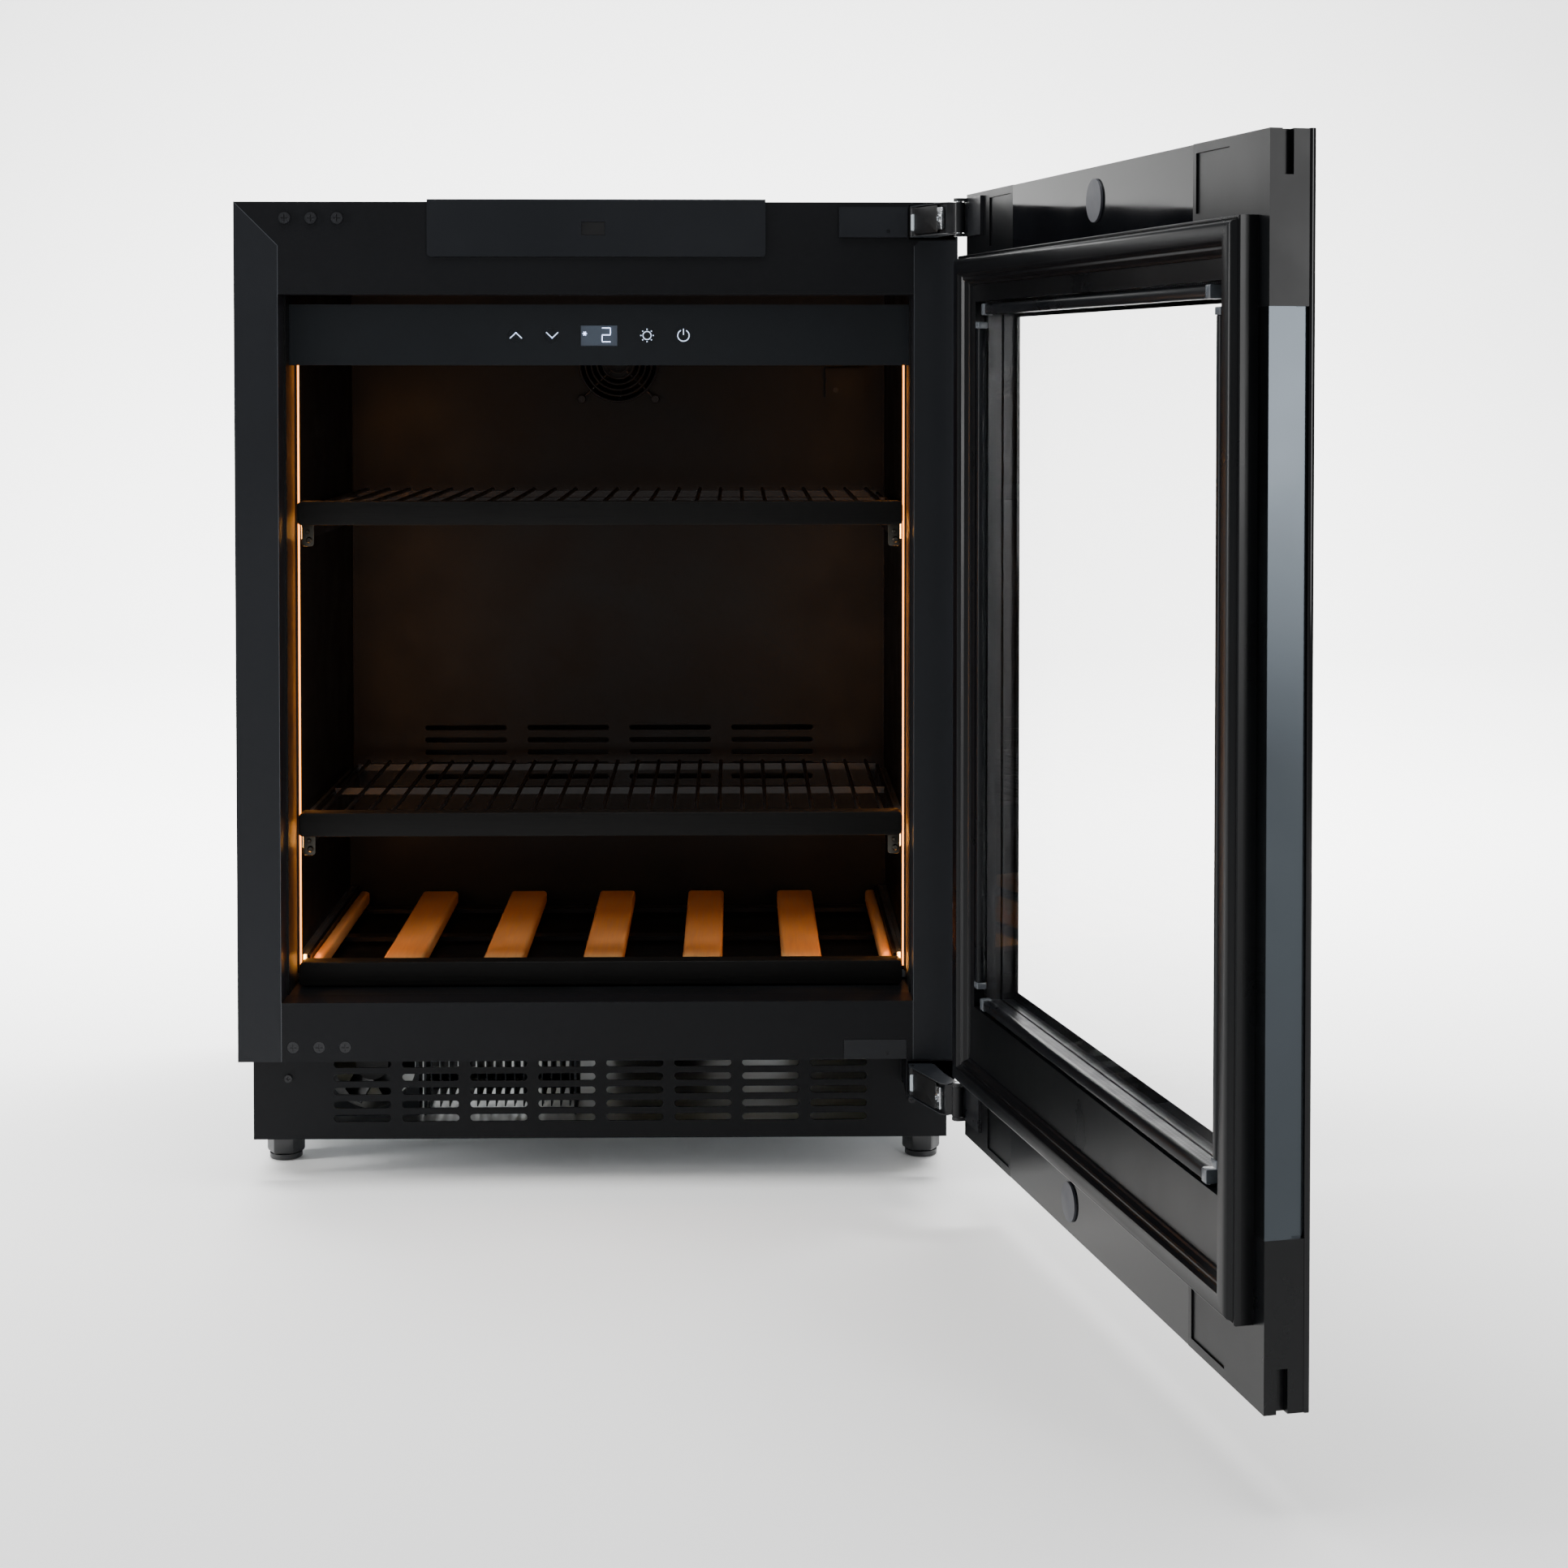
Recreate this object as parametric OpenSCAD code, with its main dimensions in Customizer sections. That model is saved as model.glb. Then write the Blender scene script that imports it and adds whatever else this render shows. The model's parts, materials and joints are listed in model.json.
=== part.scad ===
// Undercounter refrigerator with a glass door: casing, door on sliding hinge arms, pull-out shelves,
// cooling unit and levelling feet. The floor is z = 0, the front looks along -Y, and the origin lies
// midway between the four feet. The door is drawn shut and then carried to its open rest place.

/* [Cabinet] */
// Width over the front frame and the casing
cabinet_w = 595; // [560:1:640]
// Height from the floor to the top of the front frame
cabinet_h = 818; // [790:1:870]
// Depth of the cabinet without its door
cabinet_d = 520; // [480:1:560]
// Height of the bottom edge of the front frame
frame_foot = 107.5; // [100:0.5:125]
// Width of the frame's stiles
stile_w = 36; // [30:1:45]
// Height of the frame's top rail
top_rail_h = 76; // [60:1:90]
// Height of the frame's bottom rail
bottom_rail_h = 49; // [40:1:60]

/* [Door] */
// Height of the bottom edge of the door
door_foot = 63; // [50:1:75]
// Height of the top edge of the door
door_top = 820; // [810:1:840]
// Thickness of the door without its gasket frame
door_t = 29; // [26:1:36]
// Gap between the shut door and the front frame
door_gap = 18; // [16:1:22]
// Angle by which the door stands open at rest
door_open = 102.2; // [90:0.1:110]
// Width of the window's border at the sides
window_side = 62; // [55:1:80]
// Lower edge of the window
window_foot = 191; // [170:1:220]
// Upper edge of the window
window_top = 721; // [690:1:735]

/* [Shelves] */
// Height of the top of the upper shelf
upper_shelf_z = 569; // [520:1:600]
// Height of the top of the middle shelf
middle_shelf_z = 305; // [280:1:400]
// Height of the top of the bottle shelf
bottle_shelf_z = 178; // [178:1:185]
// Height of a shelf's front trim
trim_h = 20; // [16:1:26]
// Number of gaps between the bottle slats
bottle_places = 6; // [4:1:6]

/* [Plinth] */
// Set-back of the plinth from the front frame
plinth_back = 45; // [30:1:60]
// Number of slots in a row
slot_columns = 8; // [4:1:8]
// Number of rows of slots
slot_rows = 5; // [3:1:5]

/* [Hidden] */
$fn = 48;
front_y = -280;
half_w = cabinet_w / 2;
inner_half = 260;
liner_t = 2;
liner_d = 474;
open_half = half_w - stile_w;
frame_t = 30;
fold_t = 2;
rail_low = cabinet_h - top_rail_h;
sill_z = frame_foot + bottom_rail_h;
hump_z = 240;
hump_y = 385;
skin = 1;
liner_h = 758;
base_z = 33;
base_half = 293;
foot_x = 275;
foot_ys = [100, 460];

// the pin of a hinge: its place on the shut door, and on the open one
pin_shut = [half_w - 5, -door_gap + 7.73];
arm_travel = 61.2;
pin_open = [pin_shut[0], pin_shut[1] - arm_travel];
hinge_zs = [786, 76.8];
pin_r = 2.5;
knuckle_r = 4.5;
pocket_x = [256, 295.9];
pocket_d = 76;

cap_w = 118;
cap_h = 104;
band_h = 50;
side_w = 24;
glass_t = 4;
seal_out = 16;
seal_w = 24;
seal_low = door_foot + 49;
seal_high = door_top - 50;

fan_z = 688;
fan_wall = 410;
fan_hole = 71.5;
trim_y = 55;
trim_t = 18;
rack_end = 375;
shelf_half = 255.8;
slat_w = 34;
slat_step = 85.5;
runner_len = 300;

// ---- shapes that several pieces share ----

// a box between two corners, its depth counted from the front of the frame
module slab(x, y, z) {
    translate([x[0], front_y + y[0], z[0]])
        cube([x[1] - x[0], y[1] - y[0], z[1] - z[0]]);
}
// the same slab on the left and on the right
module both(x, y, z) {
    slab(x, y, z);
    slab([-x[1], -x[0]], y, z);
}
// a rectangular ring standing across the Y axis
module ring_slab(x, y, z, x_in, z_in) {
    difference() {
        slab(x, y, z);
        slab(x_in, [y[0] - 1, y[1] + 1], z_in);
    }
}
// a rod along Y, its depth counted from the front of the frame
module rod_y(x, z, y, r) {
    translate([x, front_y + y[0], z]) rotate([-90, 0, 0]) cylinder(h = y[1] - y[0], r = r);
}
// a rod along X
module rod_x(x, y, z, r) {
    translate([x[0], front_y + y, z]) rotate([0, 90, 0]) cylinder(h = x[1] - x[0], r = r);
}
// a pan head whose shank goes into the face at depth y
module pan_screw(x, z, y, r, h) {
    translate([x, front_y + y, z]) rotate([90, 0, 0]) difference() {
        cylinder(h = h, r = r);
        translate([-r * 0.6, -0.4, h / 2]) cube([r * 1.2, 0.8, h]);
        translate([-0.4, -r * 0.6, h / 2]) cube([0.8, r * 1.2, h]);
    }
}
// carries what is drawn for the shut door to the open rest place
module open_door() {
    translate([pin_open[0], front_y + pin_open[1], 0]) rotate([0, 0, door_open])
        translate([-pin_shut[0], -front_y - pin_shut[1], 0]) children();
}
// a stadium slot through a plate that stands across Y
module slot_y(x, z, y, len, h) {
    rod_y(x - (len - h) / 2, z, y, h / 2);
    rod_y(x + (len - h) / 2, z, y, h / 2);
    slab([x - (len - h) / 2, x + (len - h) / 2], y, [z - h / 2, z + h / 2]);
}
// blades of an axial fan on a hub, turning about Y
module fan_blades(x, y, z, r, hub_r, depth, count) {
    translate([x, front_y + y, z]) rotate([-90, 0, 0]) {
        cylinder(h = depth, r = hub_r);
        intersection() {
            cylinder(h = depth, r = r);
            union() for (i = [0 : count - 1]) rotate([0, 0, 360 / count * i])
                translate([hub_r - 2, 0, depth / 2]) rotate([38, 0, 0])
                    translate([0, -depth * 0.75, -0.8]) cube([r, depth * 1.5, 1.6]);
        }
    }
}

// ---- cabinet ----

module outer_casing() color("#2b2d30") difference() {
    slab([-half_w + 0.5, half_w - 0.5], [frame_t, cabinet_d - skin], [frame_foot, cabinet_h - 0.5]);
    slab([-half_w + 0.5 + skin, half_w - 0.5 - skin], [frame_t - 1, cabinet_d],
        [frame_foot - 1, cabinet_h - 0.5 - skin]);
}

module back_panel() color("#8d9196") difference() {
    slab([-half_w + 0.5, half_w - 0.5], [cabinet_d - skin, cabinet_d], [frame_foot, cabinet_h - 0.5]);
    // louvres over the compressor
    for (i = [0 : 5]) slot_y(-150, frame_foot + 18 + i * 14, [cabinet_d - 2, cabinet_d + 1], 120, 6);
    // the power inlet's cut-out
    rod_y(190, 150, [cabinet_d - 2, cabinet_d + 1], 11);
}

module base_tray() color("#9a9ea3") difference() {
    union() {
        slab([-base_half, base_half], [82, cabinet_d - 6], [base_z, base_z + 1.5]);
        slab([-240, 240], [plinth_back + 2, 83], [base_z, base_z + 1.5]);
        both([base_half - 1.5, base_half], [82, cabinet_d - 6], [base_z, frame_foot + 26]);
        both([base_half - 1, half_w - 1.5], [82, cabinet_d - 6], [frame_foot + 24.5, frame_foot + 26]);
        slab([-base_half, base_half], [cabinet_d - 7.5, cabinet_d - 6], [base_z, frame_foot]);
        for (x = [-foot_x, foot_x]) for (y = foot_ys)
            translate([x, front_y + y, base_z]) cylinder(h = 22, r = 10);
    }
    for (x = [-foot_x, foot_x]) for (y = foot_ys)
        translate([x, front_y + y, base_z - 1]) cylinder(h = 40, r = 5.05);
    for (i = [-3 : 3]) slot_y(i * 60 - 40, 70, [cabinet_d - 9, cabinet_d], 46, 8);
}

module insulation_foam() color("#e8dfb8") difference() {
    slab([-half_w + 1.5, half_w - 1.5], [frame_t, cabinet_d - skin], [frame_foot + 26, cabinet_h - 1.5]);
    slab([-inner_half - liner_t, inner_half + liner_t], [0, liner_d + liner_t], [hump_z - liner_t, liner_h + liner_t]);
    slab([-inner_half - liner_t, inner_half + liner_t], [0, hump_y + liner_t], [sill_z - liner_t, liner_h + liner_t]);
    slab([-half_w, half_w], [hump_y + 14, cabinet_d + 1], [0, hump_z - 20]);
    slab([pocket_x[0], half_w], [0, pocket_d], [hinge_zs[0], hinge_zs[0] + 30.5]);
    slab([-110.5, 110.5], [69.5, 190.5], [liner_h, 792.5]);
}

module inner_liner() color("#17181a") difference() {
    union() {
        slab([-inner_half - liner_t, inner_half + liner_t], [frame_t, liner_d + liner_t],
            [hump_z - liner_t, liner_h + liner_t]);
        slab([-inner_half - liner_t, inner_half + liner_t], [frame_t, hump_y + liner_t],
            [sill_z - liner_t, liner_h + liner_t]);
    }
    slab([-inner_half, inner_half], [frame_t - 1, liner_d], [hump_z, liner_h]);
    slab([-inner_half, inner_half], [frame_t - 1, hump_y], [sill_z, liner_h]);
}

// a folded channel, cut at 45 degrees where it meets the top rail
module stile(side) difference() {
    slab(side > 0 ? [open_half, half_w] : [-half_w, -open_half], [0, frame_t], [frame_foot, cabinet_h]);
    rotate([90, 0, 0]) translate([0, 0, -front_y - frame_t - 1]) linear_extrude(frame_t + 2)
        polygon([[side * half_w, cabinet_h], [side * open_half, cabinet_h - stile_w],
            [side * (open_half - 2), cabinet_h - stile_w],
            [side * (open_half - 2), cabinet_h + 2], [side * half_w, cabinet_h + 2]]);
    slab(side > 0 ? [open_half + fold_t, half_w - fold_t] : [fold_t - half_w, -open_half - fold_t],
        [fold_t, frame_t + 1], [frame_foot + fold_t, hinge_zs[0] - 2]);
}
module pocket_hole(z) slab([pocket_x[0], pocket_x[1]], [-5, pocket_d], [z, z + 30.5]);

module frame_stiles() color("#1d1e20") {
    stile(-1);
    difference() {
        stile(1);
        pocket_hole(hinge_zs[0]);
    }
}
module top_rail() color("#1d1e20") difference() {
    rotate([90, 0, 0]) translate([0, 0, -front_y - frame_t]) linear_extrude(frame_t)
        polygon([[-half_w, cabinet_h], [-open_half, cabinet_h - stile_w], [-open_half, rail_low],
            [open_half, rail_low], [open_half, cabinet_h - stile_w], [half_w, cabinet_h]]);
    slab([-pocket_x[0] + 4, pocket_x[0] - 4], [fold_t, frame_t + 1],
        [rail_low + fold_t, cabinet_h - fold_t]);
    pocket_hole(hinge_zs[0]);
    slab([-13, 8], [-1, 14], [789.5, 802.5]);
}
module bottom_rail() color("#1d1e20") difference() {
    slab([-open_half, open_half], [0, frame_t], [frame_foot, sill_z]);
    slab([fold_t - open_half, open_half - fold_t], [fold_t, frame_t + 1],
        [frame_foot + fold_t, sill_z - fold_t]);
    slab([203.8, 256.1], [-1, 1.2], [107, 124.2]);
    for (i = [0 : 2]) rod_y(-252 + 21.5 * i, 119.5, [-1, 1.2], 5);
}

// ---- fixing plate, with the window of the switch that senses the magnet in the door's disc ----

module fixing_plate() color("#232427") difference() {
    union() {
        slab([-139, 139], [-2, 0], [776, cabinet_h]);
        slab([-136, 136], [-2, 0], [773, 776]);
        for (x = [-136, 136]) rod_y(x, 776, [-2, 0], 3);
        slab([-139, 139], [-2, 45], [cabinet_h, cabinet_h + 2]);
    }
    slab([-12, 7], [-3, 1], [790.5, 801.5]);
    for (x = [-100, 100]) translate([x, front_y + 25, cabinet_h - 1]) cylinder(h = 4, r = 2.25);
}
module door_sensor() color("#0f1012") {
    slab([-11.8, 6.8], [-1.4, 3], [790.7, 801.3]);
    slab([-8, 3], [3, 6], [793, 799]);
}

// ---- hinges ----

module hinge_pocket(z) difference() {
    slab(pocket_x, [0, pocket_d], [z, z + 30.5]);
    slab([pocket_x[0] + 1, pocket_x[1] - 0.4], [-1, pocket_d - 1], [z + 1.2, z + 29.3]);
}
module hinge_pockets() color("#2a2b2e") for (z = hinge_zs) hinge_pocket(z);

module hinge_covers() color("#1b1c1e") {
    difference() {
        slab([199.5, 255.7], [-3, 0], [789, 814]);
        rod_y(240, 794, [-4, -2], 1.6);
    }
    difference() {
        slab([204, 255.9], [-0.3, 1.2], [108, 124]);
        rod_y(240, 113, [-1, 0.4], 1.6);
    }
}

// the arm seen from above: a root in its pocket, a slanted web, and a knuckle round the pin
module arm_plan() {
    translate([0, front_y]) {
        polygon([[257.6, 12], [257.6, -8], [262, -14], [283, -66], [291, -70],
            [295.5, -64], [277, -6], [277, 12]]);
        translate(pin_open) circle(r = knuckle_r);
        translate(pin_open) square([3, knuckle_r]);
    }
}
module hinge_arm(z, clearance) {
    difference() {
        translate([0, 0, z + 3.2]) linear_extrude(24) arm_plan();
        translate([pin_open[0], front_y + pin_open[1], z]) cylinder(h = 40, r = pin_r + clearance);
    }
    translate([260, front_y - 9.5, z + 2.2]) cylinder(h = 26, r = 1.9);
}
// a moulded cover clipped on the web's outer side
module arm_cover(z) translate([0, 0, z + 6]) linear_extrude(18) translate([0, front_y])
    polygon([[263.63, -18.09], [281.98, -63.52], [280.14, -64.26], [261.79, -18.83]]);

module upper_hinge_arm() color("#b9bcc0") hinge_arm(hinge_zs[0], 0.03);
module lower_hinge_arm() color("#b9bcc0") hinge_arm(hinge_zs[1], 0.3);
module upper_arm_cover() color("#161719") arm_cover(hinge_zs[0]);
module lower_arm_cover() color("#161719") arm_cover(hinge_zs[1]);

module hinge_pins() color("#c9ccd0") open_door() for (z = hinge_zs)
    translate([pin_shut[0], front_y + pin_shut[1], z + 0.2]) cylinder(h = 30.2, r = pin_r);

// two leaves on a foot that is screwed to the door
module door_bracket(z) difference() {
    union() {
        for (leaf = [z, z + 28]) translate([0, 0, leaf]) linear_extrude(2.5) {
            translate([pin_shut[0], front_y + pin_shut[1]]) circle(r = knuckle_r);
            translate([pin_shut[0] - knuckle_r, front_y - door_gap + 2.5]) square([knuckle_r * 2, 5.3]);
        }
        slab([half_w - 44, half_w - 0.5], [-door_gap, -door_gap + 2.5], [z, z + 30.5]);
    }
    translate([pin_shut[0], front_y + pin_shut[1], z - 1]) cylinder(h = 40, r = pin_r);
}
module door_brackets() color("#34363a") open_door() for (z = hinge_zs) door_bracket(z);

// ---- door, drawn shut ----

glass_y = -door_gap - door_t;
core_y = [glass_y + glass_t, -door_gap];

module door_outer_glass() color([0.06, 0.07, 0.08, 0.6]) open_door()
    slab([-half_w, half_w], [glass_y, glass_y + glass_t], [door_foot, door_top]);

module door_side_profiles() color("#4a4d52") open_door() difference() {
    both([half_w - side_w, half_w - 0.6], core_y, [door_foot + cap_h, door_top - cap_h]);
    both([half_w - 3, half_w], [core_y[0] - 1, core_y[0] + 8], [door_foot, door_top]);
}

module band(z) difference() {
    slab([-half_w + cap_w, half_w - cap_w], core_y, z);
    slab([-half_w + cap_w + 4, half_w - cap_w - 4], [core_y[0] + 3, core_y[1] - 3], [z[0] + 4, z[1] - 4]);
}
module door_bands() color("#08090b") open_door() {
    band([door_top - band_h, door_top - 0.6]);
    band([door_foot + 0.6, door_foot + band_h]);
}

// an L-shaped corner cap with a keyway in its end face
module corner_cap(side, end_z, inward) {
    low_leg = end_z + inward * (band_h - 0.3);
    high_leg = end_z + inward * (cap_h - 0.3);
    leg = [min(end_z, low_leg), max(end_z, low_leg)];
    tall = [min(end_z, high_leg), max(end_z, high_leg)];
    key = [min(end_z - inward, end_z + inward * 27), max(end_z - inward, end_z + inward * 27)];
    difference() {
        union() {
            slab(side > 0 ? [half_w - cap_w, half_w - 0.3] : [0.3 - half_w, cap_w - half_w], core_y, leg);
            slab(side > 0 ? [half_w - side_w, half_w - 0.3] : [0.3 - half_w, side_w - half_w], core_y, tall);
        }
        slab(side > 0 ? [half_w - 6, half_w + 1] : [-half_w - 1, 6 - half_w],
            [core_y[1] - 15, core_y[1] - 8], key);
        slab(side > 0 ? [half_w - cap_w + 5, half_w - 60] : [60 - half_w, cap_w - half_w - 5],
            [core_y[1] - 1.2, core_y[1] + 1], [leg[0] + 6, leg[1] - 6]);
    }
}
module corner_caps() color("#26282c") open_door() for (side = [-1, 1]) {
    corner_cap(side, door_top - 0.3, -1);
    corner_cap(side, door_foot + 0.3, 1);
}

pane_half = half_w - window_side + 18;
pane_z = [window_foot - 18, window_top + 18];
middle_y = [core_y[0] + 9, core_y[0] + 12];
inner_y = [-door_gap - 2, -door_gap + 1];

module door_inner_panes() color([0.75, 0.82, 0.8, 0.25]) open_door() {
    slab([-pane_half, pane_half], middle_y, pane_z);
    slab([-pane_half, pane_half], inner_y, pane_z);
}
module spacer(y) ring_slab([-pane_half + 4, pane_half - 4], y, [pane_z[0] + 4, pane_z[1] - 4],
    [-pane_half + 12, pane_half - 12], [pane_z[0] + 12, pane_z[1] - 12]);
module door_spacer_bars() color("#b4b8bc") open_door() {
    spacer([core_y[0], middle_y[0]]);
    spacer([middle_y[1], inner_y[0]]);
}

seal_half = half_w - seal_out;
strip_in = half_w - window_side;

module door_liner_frame() color("#141517") open_door() difference() {
    union() {
        slab([-seal_half, seal_half], [-door_gap, -door_gap + 8], [seal_low, seal_high]);
        slab([side_w - half_w, half_w - side_w], core_y, [door_foot + band_h, door_top - band_h]);
    }
    slab([-pane_half - 0.5, pane_half + 0.5], [core_y[0] - 1, inner_y[1]], [pane_z[0] - 0.5, pane_z[1] + 0.5]);
    slab([-strip_in - 12, strip_in + 12], [-door_gap - 4, 0], [window_foot - 12, window_top + 12]);
}

// a plate with rounded corners, w to each side
module rounded_plate(w, z, r) {
    for (x = [-w + r, w - r]) for (h = [z[0] + r, z[1] - r])
        translate([x, h]) circle(r = r);
    translate([-w + r, z[0]]) square([2 * (w - r), z[1] - z[0]]);
    translate([-w, z[0] + r]) square([2 * w, z[1] - z[0] - 2 * r]);
}
module door_gasket() color("#1a1b1d") open_door()
    translate([0, front_y - 0.6, 0]) rotate([90, 0, 0]) linear_extrude(9.4) difference() {
        rounded_plate(seal_half, [seal_low, seal_high], 5);
        rounded_plate(seal_half - seal_w, [seal_low + seal_w, seal_high - seal_w], 3);
    }

module door_light_strips() color("#f4f2ea") open_door() {
    y = [inner_y[1], inner_y[1] + 8];
    both([strip_in + 1, strip_in + 10], y, [window_foot + 4, window_top - 4]);
    for (z = [window_foot - 10, window_top + 1])
        slab([-strip_in + 6, strip_in - 6], y, [z, z + 9]);
}

module door_discs() color("#aeb1b5") open_door() {
    rod_y(-2.5, 796, [-door_gap, -door_gap + 1.6], 15);
    rod_y(44, 86, [-door_gap, -door_gap + 1.6], 14);
}

// ---- controls and light ----

module control_fascia() color("#111214") difference() {
    slab([-inner_half, inner_half], [47, 62], [684, 735]);
    slab([-256, 256], [50, 63], [688, 731]);
    slab([-16, 15], [46, 51], [700, 717.5]);
    for (x = [-71, -40.5, 40, 70.5]) rod_y(x, 709, [46, 51], 6);
}
module display_module() color("#7f8b93") slab([-15.8, 14.8], [48, 54], [700.2, 717.3]);
module touch_keys() color("#d8ecf6") for (x = [-71, -40.5, 40, 70.5]) rod_y(x, 709, [47.6, 51], 5.8);
module led_strips() color("#ffb14a") both([256.6, inner_half], [74, 79.5], [165, 735]);

// ---- air side of the cooling unit ----

module evaporator_cover() color("#1c1d1f") difference() {
    slab([-inner_half, inner_half], [fan_wall, fan_wall + 4], [hump_z, liner_h]);
    rod_y(0, fan_z, [fan_wall - 1, fan_wall + 5], 37.5);
    for (z = [270 : 12 : 330]) for (x = [-150, -50, 50, 150])
        slot_y(x, z, [fan_wall - 1, fan_wall + 5], 80, 5);
}
module fan_guard() color("#0e0f10") {
    for (r = [10 : 7 : 38]) difference() {
        rod_y(0, fan_z, [fan_wall - 6, fan_wall - 4], r + 1);
        rod_y(0, fan_z, [fan_wall - 7, fan_wall - 3], r - 1);
    }
    for (a = [45 : 90 : 315]) translate([0, front_y + fan_wall - 5, fan_z]) rotate([0, a, 0])
        translate([-1.1, -1, 9.5]) cube([2.2, 3, 37.9]);
    for (x = [-1, 1]) for (z = [-1, 1])
        rod_y(x * fan_hole / 2, fan_z + z * fan_hole / 2, [fan_wall - 5, fan_wall], 4);
}
module fan_housing() color("#0c0d0e") {
    difference() {
        slab([-40, 40], [fan_wall + 4, fan_wall + 29], [fan_z - 40, fan_z + 40]);
        rod_y(0, fan_z, [fan_wall, fan_wall + 40], 37.5);
    }
    difference() {
        union() {
            rod_y(0, fan_z, [fan_wall + 25, fan_wall + 29], 16);
            slab([-38.5, 38.5], [fan_wall + 25.5, fan_wall + 28.5], [fan_z - 2, fan_z + 2]);
            slab([-2, 2], [fan_wall + 25.5, fan_wall + 28.5], [fan_z - 38.5, fan_z + 38.5]);
        }
        rod_y(0, fan_z, [fan_wall, fan_wall + 40], 1.55);
    }
}
module fan_rotor() color("#0c0d0e") {
    fan_blades(0, fan_wall + 8, fan_z, 35, 15, 14, 7);
    rod_y(0, fan_z, [fan_wall + 22, fan_wall + 29], 1.5);
}
module sensor_cover() color("#17181a") slab([202, 240], [fan_wall - 12, fan_wall], [654, 682]);
// three in the spare hinge holes at each end of the left stile, the rest inside and on the plinth
module cabinet_screws() color("#3a3c3f") {
    for (i = [0 : 2]) {
        pan_screw(-255.5 + 21.5 * i, 804.5, 0, 4.8, 2.2);
        pan_screw(-252 + 21.5 * i, 119.5, 1.2, 4.8, 1.1);
    }
    for (x = [-1, 1]) for (z = [-1, 1])
        pan_screw(x * fan_hole / 2, fan_z + z * fan_hole / 2, fan_wall - 5, 3, 1.6);
    pan_screw(212, 661, fan_wall - 12, 2.4, 1.4);
    pan_screw(-263.5, 82, plinth_back, 3.2, 2);
    pan_screw(263.5, 62, plinth_back, 3.2, 2);
}

// ---- shelves on telescopic runners ----

// heights of a runner under a shelf
function runner_z(top) = [top - trim_h - 13, top - trim_h + 9];

module fixed_runners() color("#9c9fa3") for (top = [upper_shelf_z, middle_shelf_z, bottle_shelf_z + 13])
    both([256.3, inner_half], [80, 80 + runner_len], runner_z(top));
module runner_members(top) color("#b4b7ba") both([252.7, 255.9], [78, 78 + runner_len], runner_z(top));
module upper_runner_members() runner_members(upper_shelf_z);
module middle_runner_members() runner_members(middle_shelf_z);
module bottle_runner_members() runner_members(bottle_shelf_z + 13);

// a can shelf: moving rails, a rod frame and wires from front to back
module can_shelf(top) color("#2c2d2f") {
    z = top - 4.5;
    both([249.3, 252.3], [75, 75 + runner_len], [runner_z(top)[0], z - 2]);
    for (y = [78, 225, rack_end - 4]) slab([-250, 250], [y - 3, y + 3], [z - 6, z]);
    for (i = [-12 : 12]) rod_y(i * 20, z + 1.2, [73, rack_end], 1.8);
}
module shelf_trim(top) color("#1f1c1b") difference() {
    slab([-shelf_half, shelf_half], [trim_y, trim_y + trim_t], [top - trim_h, top]);
    for (side = [-1, 1]) difference() {
        slab(side > 0 ? [shelf_half - 4, shelf_half + 1] : [-shelf_half - 1, 4 - shelf_half],
            [trim_y - 1, trim_y + trim_t + 1], [top - 4, top + 1]);
        rod_y(side * (shelf_half - 4), top - 4, [trim_y - 2, trim_y + trim_t + 2], 4);
    }
}
module upper_shelf() can_shelf(upper_shelf_z);
module middle_shelf() can_shelf(middle_shelf_z);
module upper_shelf_trim() shelf_trim(upper_shelf_z);
module middle_shelf_trim() shelf_trim(middle_shelf_z);
module bottle_shelf_trim() shelf_trim(bottle_shelf_z);

// the bottle shelf: moving rails and three cross bars
module bottle_shelf() color("#2c2d2f") {
    both([249.3, 252.3], [75, 75 + runner_len], runner_z(bottle_shelf_z + 13));
    for (y = [100, 230, 355])
        slab([-250, 250], [y - 8, y + 8], [bottle_shelf_z - 18, bottle_shelf_z - 14]);
}
// slats from front to back, bottles lie between them
module bottle_slats() color("#c79a63") for (i = [-bottle_places / 2 : bottle_places / 2])
    slab([max(i * slat_step - slat_w / 2, -249), min(i * slat_step + slat_w / 2, 249)], [73, 370],
        [bottle_shelf_z - 14, bottle_shelf_z - 1]);

// ---- base: plinth, feet and the warm side of the cooling unit ----

module plinth_grille() color("#26272a") difference() {
    slab([-base_half, base_half], [plinth_back, plinth_back + 2], [30, frame_foot - 0.3]);
    for (c = [0 : slot_columns - 1]) for (r = [0 : slot_rows - 1])
        slot_y((c - (slot_columns - 1) / 2) * 57.5, 47.7 + r * 11.5,
            [plinth_back - 1, plinth_back + 3], 48.3, 6.2);
    slab([pocket_x[0] - 1, base_half + 1], [plinth_back - 1, plinth_back + 3],
        [hinge_zs[1] - 0.6, frame_foot]);
}
module foot(x, y) color("#141517") translate([x, front_y + y, 0]) {
    cylinder(h = 6, r = 14);
    translate([0, 0, 5]) cylinder(h = 17, r = 16.5, $fn = 6);
    translate([0, 0, 1]) cylinder(h = 71, r = 5);
}
module feet_front_left() foot(-foot_x, foot_ys[0]);
module feet_front_right() foot(foot_x, foot_ys[0]);
module feet_back_left() foot(-foot_x, foot_ys[1]);
module feet_back_right() foot(foot_x, foot_ys[1]);

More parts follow.
